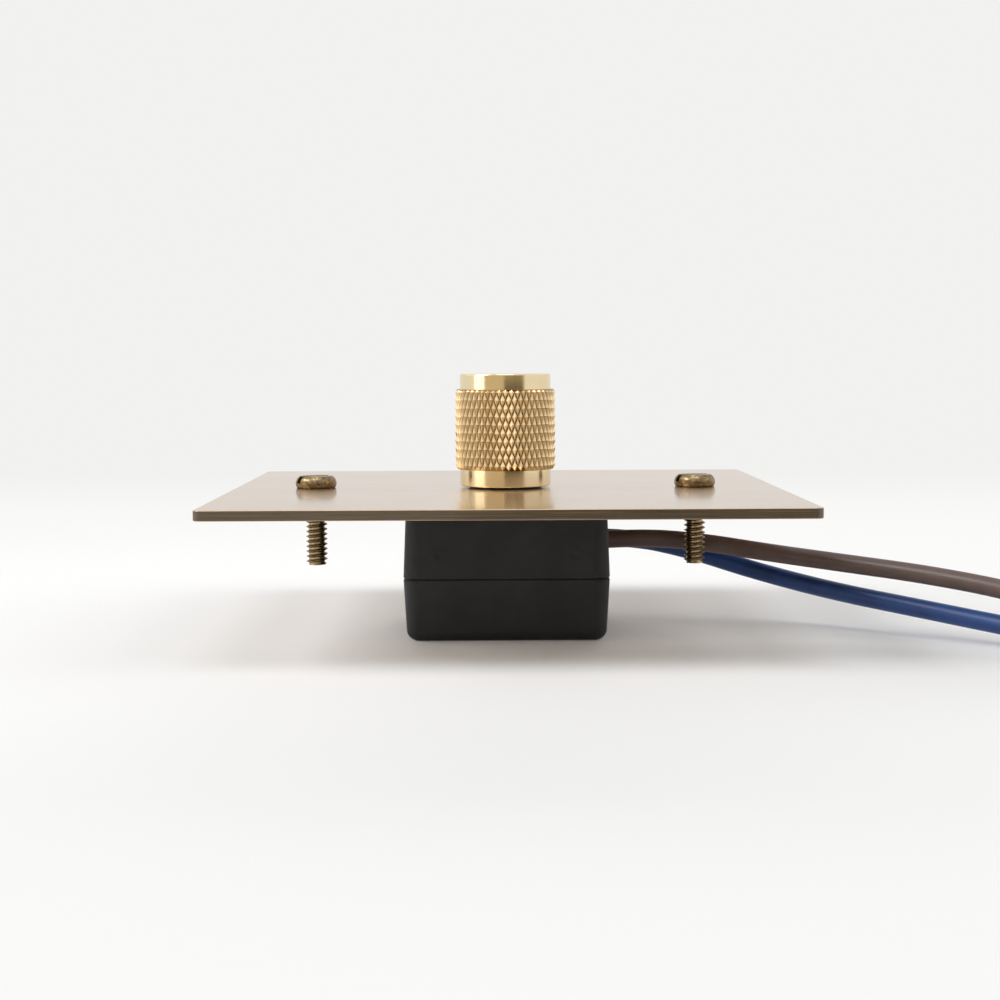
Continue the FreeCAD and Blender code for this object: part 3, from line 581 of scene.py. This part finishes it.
def makeScrews():
    bm = bmesh.new()
    for place, slotAngle in zip(screwShape["places"], screwShape["slotAngles"]):
        thread = bmesh.new()
        addThread(thread)
        threadMesh = bpy.data.meshes.new("screw_thread")
        thread.to_mesh(threadMesh)
        thread.free()
        threadMesh.transform(Matrix.Translation((place * mm, 0, 0)))
        headMesh = screwHead(slotAngle)
        headMesh.transform(Matrix.Translation((place * mm, 0, screwShape["headFoot"] * mm)))
        bm.from_mesh(threadMesh)
        bm.from_mesh(headMesh)
    mesh = meshFrom(bm, "plate_screws_threaded", screwShape["sharpAngle"])
    addPiece("plate_screws_threaded", mesh, "housing", screwFinish(), ["plate_screws"])


makeScrews()
print("screws threaded")


# Case: the two moulded halves, with smooth shading round their corners
caseShading = {
    "flatAngle": 0.3,    # faces that meet at less become one
    "normalWeight": 50,
    "sharpAngle": 32,
}
casePlastic = {
    "base": (0.0128, 0.0134, 0.016),
    "pale": (0.018, 0.0187, 0.0218),
    "scuff": (0.055, 0.055, 0.055),
    "specular": 0.4,
    "roughness": (0.5, 0.58),
}


def caseFinish():
    finish = Finish("case_moulded_black")
    cloud = finish.noise(5, detail=6)
    spark = finish.noise(0.09, detail=3)
    rub = finish.span(finish.noise(0.7, detail=6, stretch=(5, 5, 1)), 0.66, 0.8)
    speck = finish.span(finish.noise(0.28, detail=1, shift=(3, 7, 1)), 0.77, 0.8)
    tone = finish.mix(finish.span(cloud, 0.3, 0.75), casePlastic["base"], casePlastic["pale"])
    low, high = casePlastic["roughness"]
    finish.set(
        Base_Color=finish.mix(larger(rub * 0.35, speck), tone, casePlastic["scuff"]),
        Roughness=finish.span(cloud, 0.3, 0.7, high, low),
        Specular_IOR_Level=casePlastic["specular"],
        Normal=finish.bump(spark, 0.012, 0.35),
    )
    return finish


def makeCaseHalf(node, finish):
    name = f"{node}_moulded"
    bm = bmesh.new()
    bm.from_mesh(nodes[node].data)
    bmesh.ops.remove_doubles(bm, verts=bm.verts, dist=weld)
    bmesh.ops.dissolve_limit(bm, angle_limit=math.radians(caseShading["flatAngle"]),
                             verts=bm.verts, edges=bm.edges)
    mesh = meshFrom(bm, name, caseShading["sharpAngle"])
    piece = addPiece(name, mesh, "housing", finish, [node])
    # flat faces keep their own normals beside the fillets
    even = piece.modifiers.new("even", "WEIGHTED_NORMAL")
    even.weight = caseShading["normalWeight"]
    even.keep_sharp = True


plasticFinish = caseFinish()
for half in ("upper_case", "lower_case"):
    makeCaseHalf(half, plasticFinish)
print("case halves smoothed")


# Plate: brushed sheet, a little tarnished, darker on its sheared edge
plateBrass = {
    "base": (0.54, 0.385, 0.24),
    "tarnish": (0.51, 0.36, 0.22),
    "edge": (0.085, 0.066, 0.046),
    "edgeBright": (0.18, 0.133, 0.085),
    "roughness": (0.30, 0.36),
    "coat": 0.65,
    "coatRoughness": 0.1,
    "middle": 21.75,
    "half": 0.75,
    "edgeFade": (0.12, 0.04),
}


def plateFinish():
    finish = Finish("plate_brushed_brass")
    z = finish.axes()[2]
    brush = finish.noise(0.05, detail=4, stretch=(400, 1, 1))
    shear = finish.noise(0.12, detail=5, stretch=(120, 120, 1))
    cloud = finish.noise(22, detail=3)
    off = abs(z - plateBrass["middle"] * mm)
    fade = [(plateBrass["half"] - inside) * mm for inside in plateBrass["edgeFade"]]
    onEdge = finish.span(off, *fade, 1, 0)
    low, high = plateBrass["roughness"]
    tone = finish.mix(finish.span(cloud, 0.3, 0.75), plateBrass["base"], plateBrass["tarnish"])
    edge = finish.mix(finish.span(shear, 0.4, 0.7), plateBrass["edge"], plateBrass["edgeBright"])
    finish.set(
        Base_Color=finish.mix(onEdge * 0.95, tone, edge),
        Metallic=1.0,
        Roughness=finish.span(brush * 0.7 + cloud * 0.3, 0.35, 0.65, low, high) + onEdge * 0.2,
        Coat_Weight=plateBrass["coat"],
        Coat_Roughness=plateBrass["coatRoughness"],
        Normal=finish.bump(brush, 0.003, 0.25),
    )
    return finish


def wear(node, finish):
    for slot in nodes[node].material_slots:
        slot.material = finish.material


wear("face_plate", plateFinish())
print("plate finished")


# Inner parts, each with the finish its record slot names
innerFinishes = {
    "plated_steel": {
        "tones": ((0.62, 0.61, 0.58), (0.74, 0.73, 0.71)), "metal": 1, "rough": (0.22, 0.36), "lump": 1.5},
    "blackened_steel": {
        "tones": ((0.035, 0.034, 0.033), (0.06, 0.058, 0.055)), "metal": 1, "rough": (0.4, 0.6), "lump": 0.8},
    "cast_zinc": {
        "tones": ((0.46, 0.46, 0.46), (0.6, 0.6, 0.6)), "metal": 1, "rough": (0.38, 0.55), "lump": 0.8},
    "shaft_aluminium": {
        "tones": ((0.68, 0.68, 0.69), (0.8, 0.8, 0.81)), "metal": 1, "rough": (0.2, 0.34), "lump": 0.6},
    "laminate": {
        "tones": ((0.29, 0.17, 0.075), (0.4, 0.26, 0.12)), "metal": 0, "rough": (0.5, 0.66), "lump": 0.5},
    "rotor_plastic": {
        "tones": ((0.72, 0.71, 0.66), (0.82, 0.81, 0.77)), "metal": 0, "rough": (0.42, 0.55), "lump": 2.0},
    "contact_bronze": {
        "tones": ((0.6, 0.4, 0.22), (0.76, 0.55, 0.33)), "metal": 1, "rough": (0.25, 0.4), "lump": 0.7},
    "board_laminate": {
        "tones": ((0.05, 0.17, 0.07), (0.09, 0.25, 0.11)), "metal": 0, "rough": (0.35, 0.5), "lump": 0.4},
    "part_black": {
        "tones": ((0.018, 0.018, 0.018), (0.04, 0.04, 0.04)), "metal": 0, "rough": (0.45, 0.6), "lump": 0.3},
    "ferrite": {
        "tones": ((0.06, 0.06, 0.063), (0.11, 0.11, 0.115)), "metal": 0, "rough": (0.6, 0.78), "lump": 0.3},
    "copper": {
        "tones": ((0.72, 0.36, 0.2), (0.86, 0.5, 0.32)), "metal": 1, "rough": (0.2, 0.36), "lump": 0.8},
    "capacitor_yellow": {
        "tones": ((0.68, 0.46, 0.06), (0.8, 0.6, 0.12)), "metal": 0, "rough": (0.3, 0.42), "lump": 2.0},
    "capacitor_red": {
        "tones": ((0.38, 0.045, 0.035), (0.55, 0.09, 0.06)), "metal": 0, "rough": (0.3, 0.42), "lump": 2.0},
    "diac_glass": {
        "tones": ((0.1, 0.19, 0.34), (0.2, 0.31, 0.48)), "metal": 0, "rough": (0.12, 0.22), "lump": 0.8},
    "resistor_lacquer": {
        "tones": ((0.58, 0.43, 0.26), (0.72, 0.58, 0.39)), "metal": 0, "rough": (0.28, 0.4), "lump": 0.6},
}


def innerFinish(slot):
    look = innerFinishes[slot]
    finish = Finish(slot)
    cloud = finish.noise(look["lump"], detail=5)
    grain = finish.noise(look["lump"] / 8, detail=3)
    finish.set(
        Base_Color=finish.mix(finish.span(cloud, 0.3, 0.7), *look["tones"]),
        Metallic=float(look["metal"]),
        Roughness=finish.span(cloud * 0.6 + grain * 0.4, 0.3, 0.7, *look["rough"]),
        Normal=finish.bump(grain, 0.01, 0.4),
    )
    return finish


innerMaterials = {slot: innerFinish(slot) for slot in innerFinishes}
for row in frame["record"]["subparts"]:
    if row["material_slot"] in innerMaterials:
        wear(row["node"], innerMaterials[row["material_slot"]])
print("inner parts finished")


# Studio: white floor, pale surroundings, soft windows left and right, a dim warm room behind the camera
studio = {
    "backdrop": (0.885, 0.882, 0.876),
    "ambient": 0.09,
    "floor": (0.83, 0.828, 0.822),
    "floorLift": 0.06,
    "floorWhite": (0.955, 0.95, 0.943),
    "floorSize": 12.0,
    "floorNear": 0.09,
    "floorFar": 0.22,
    "floorBack": (0.16, 0.42),
    "floorRoughness": 0.85,
    "floorSpecular": 0.1,
    "sheetAngle": 30,
}
cards = {                # upright cards met by reflections only, tones from the foot to the top
    "dim_room": {"foot": (-0.045, -0.31, 0), "turn": 0, "size": (0.79, 0.1), "tones": (
        (0.0, (0.66, 0.55, 0.36)), (1.0, (0.62, 0.52, 0.36)))},
    "dim_corner": {"foot": (0.2, -0.306, 0), "turn": 0, "size": (0.23, 0.1), "tones": (
        (0.0, (0.46, 0.38, 0.25)), (1.0, (0.44, 0.36, 0.24)))},
    "dark_camera": {"foot": (0.0725, -0.15, 0.003), "turn": 0, "size": (0.161, 0.047), "tones": (
        (0.0, (0.015, 0.012, 0.01)), (0.6, (0.015, 0.012, 0.01)), (0.75, (0.24, 0.2, 0.13)))},
    "bright_window": {"foot": (-0.4215, -0.1576, 0), "turn": -69.5, "size": (0.234, 0.1), "tones": (
        (0.0, (2.1, 2.05, 1.95)), (1.0, (2.1, 2.05, 1.95)))},
    "left_side": {"foot": (-0.5, 0.0, 0.09), "turn": -90, "size": (0.7, 0.32), "tones": (
        (0.0, (1.0, 0.98, 0.95)), (0.3, (1.4, 1.37, 1.32)), (1.0, (1.4, 1.37, 1.32)))},
    "right_side": {"foot": (0.5, 0.0, 0.09), "turn": 90, "size": (0.7, 0.32), "tones": (
        (0.0, (0.95, 0.93, 0.9)), (0.3, (1.15, 1.13, 1.1)), (1.0, (1.15, 1.13, 1.1)))},
}
lamps = {
    "left_window": {"azimuth": 175, "elevation": 21, "size": (3.5, 1.0), "power": 48.0, "glossy": False},
    "left_skylight": {"azimuth": 195, "elevation": 44, "size": (1.8, 1.2), "power": 45.0, "glossy": True},
    "front_skylight": {"azimuth": 270, "elevation": 76, "size": (1.4, 1.4), "power": 17.0, "glossy": True},
    "right_window": {"azimuth": 0, "elevation": 28, "size": (3.5, 1.3), "power": 20.5, "glossy": False},
    "right_skylight": {"azimuth": 335, "elevation": 52, "size": (2.6, 1.3), "power": 15.0, "glossy": False},
    "back_wall": {"azimuth": 90, "elevation": 9, "size": (3.5, 1.0), "power": 125.0, "glossy": False},
}
lampDistance = 3.0       # metres


def seenOf(finish):
    # rays that show the surroundings as the camera sees them
    path = finish.node("ShaderNodeLightPath").socket.node
    camera, glossy, through = (Wire(finish, path.outputs[f"Is {kind} Ray"])
                               for kind in ("Camera", "Glossy", "Transmission"))
    return larger(larger(camera, glossy), through)


def makeWorld():
    world = bpy.data.worlds.new("studio")
    scene.world = world
    world.use_nodes = True
    finish = Finish("studio", world.node_tree)
    background = world.node_tree.nodes["Background"]
    finish.feed(background.inputs["Color"], studio["backdrop"])
    finish.feed(background.inputs["Strength"], seenOf(finish) * (1 - studio["ambient"]) + studio["ambient"])


def makeFloor():
    bm = bmesh.new()
    bmesh.ops.create_grid(bm, x_segments=2, y_segments=2, size=studio["floorSize"] / 2)
    floor = bpy.data.objects.new("floor", meshFrom(bm, "floor", studio["sheetAngle"]))
    scene.collection.objects.link(floor)
    finish = Finish("floor_white")
    x, y = finish.axes()[:2]
    away = (x * x + y * y) ** 0.5
    fade = finish.span(away, studio["floorNear"], studio["floorFar"])
    tone = finish.mix(finish.span(y, *studio["floorBack"]), studio["floorWhite"], studio["backdrop"])
    finish.set(
        Base_Color=studio["floor"],
        Roughness=studio["floorRoughness"],
        Specular_IOR_Level=studio["floorSpecular"],
        Emission_Color=studio["floorWhite"],
        Emission_Strength=seenOf(finish) * studio["floorLift"],
    )
    far = finish.node("ShaderNodeEmission", sockets={"Color": tone, "Strength": 1.0})
    both = finish.node("ShaderNodeMixShader", sockets={
        0: fade, 1: Wire(finish, finish.shader.outputs["BSDF"]), 2: far})
    finish.feed(finish.tree.nodes["Material Output"].inputs["Surface"], both)
    floor.data.materials.append(finish.material)


def makeCard(name):
    look = cards[name]
    width, height = look["size"]
    foot = Vector(look["foot"])
    bm = bmesh.new()
    bmesh.ops.create_grid(bm, x_segments=1, y_segments=1, size=0.5)
    bmesh.ops.scale(bm, verts=bm.verts, vec=(width, height, 1))
    bmesh.ops.rotate(bm, verts=bm.verts, matrix=Matrix.Rotation(math.radians(90), 3, "X"))
    bmesh.ops.rotate(bm, verts=bm.verts, matrix=Matrix.Rotation(math.radians(look["turn"]), 3, "Z"))
    bmesh.ops.translate(bm, verts=bm.verts, vec=foot + Vector((0, 0, height / 2)))
    card = bpy.data.objects.new(name, meshFrom(bm, name, studio["sheetAngle"]))
    scene.collection.objects.link(card)
    finish = Finish(name)
    z = finish.axes()[2]
    tone = finish.node("ShaderNodeValToRGB", {"stops": look["tones"]}, {0: (z - foot.z) / height})
    glow = finish.node("ShaderNodeEmission", sockets={"Color": tone, "Strength": 1.0})
    finish.feed(finish.tree.nodes["Material Output"].inputs["Surface"], glow)
    card.data.materials.append(finish.material)
    for kind in ("camera", "diffuse", "glossy", "transmission", "shadow"):
        setattr(card, f"visible_{kind}", kind == "glossy")


def makeLamps():
    for name, look in lamps.items():
        light = bpy.data.lights.new(name, "AREA")
        light.shape = "RECTANGLE"
        light.size, light.size_y = look["size"]
        light.energy = look["power"]
        lamp = bpy.data.objects.new(name, light)
        azimuth, elevation = (math.radians(look[key]) for key in ("azimuth", "elevation"))
        level = math.cos(elevation)
        towards = Vector((level * math.cos(azimuth), level * math.sin(azimuth), math.sin(elevation)))
        lamp.location = towards * lampDistance
        lamp.rotation_euler = towards.to_track_quat("Z", "Y").to_euler()
        lamp.visible_glossy = look["glossy"]
        scene.collection.objects.link(lamp)


makeWorld()
makeFloor()
for cardName in cards:
    makeCard(cardName)
makeLamps()
scene.view_settings.view_transform = "Standard"
print("studio lit")
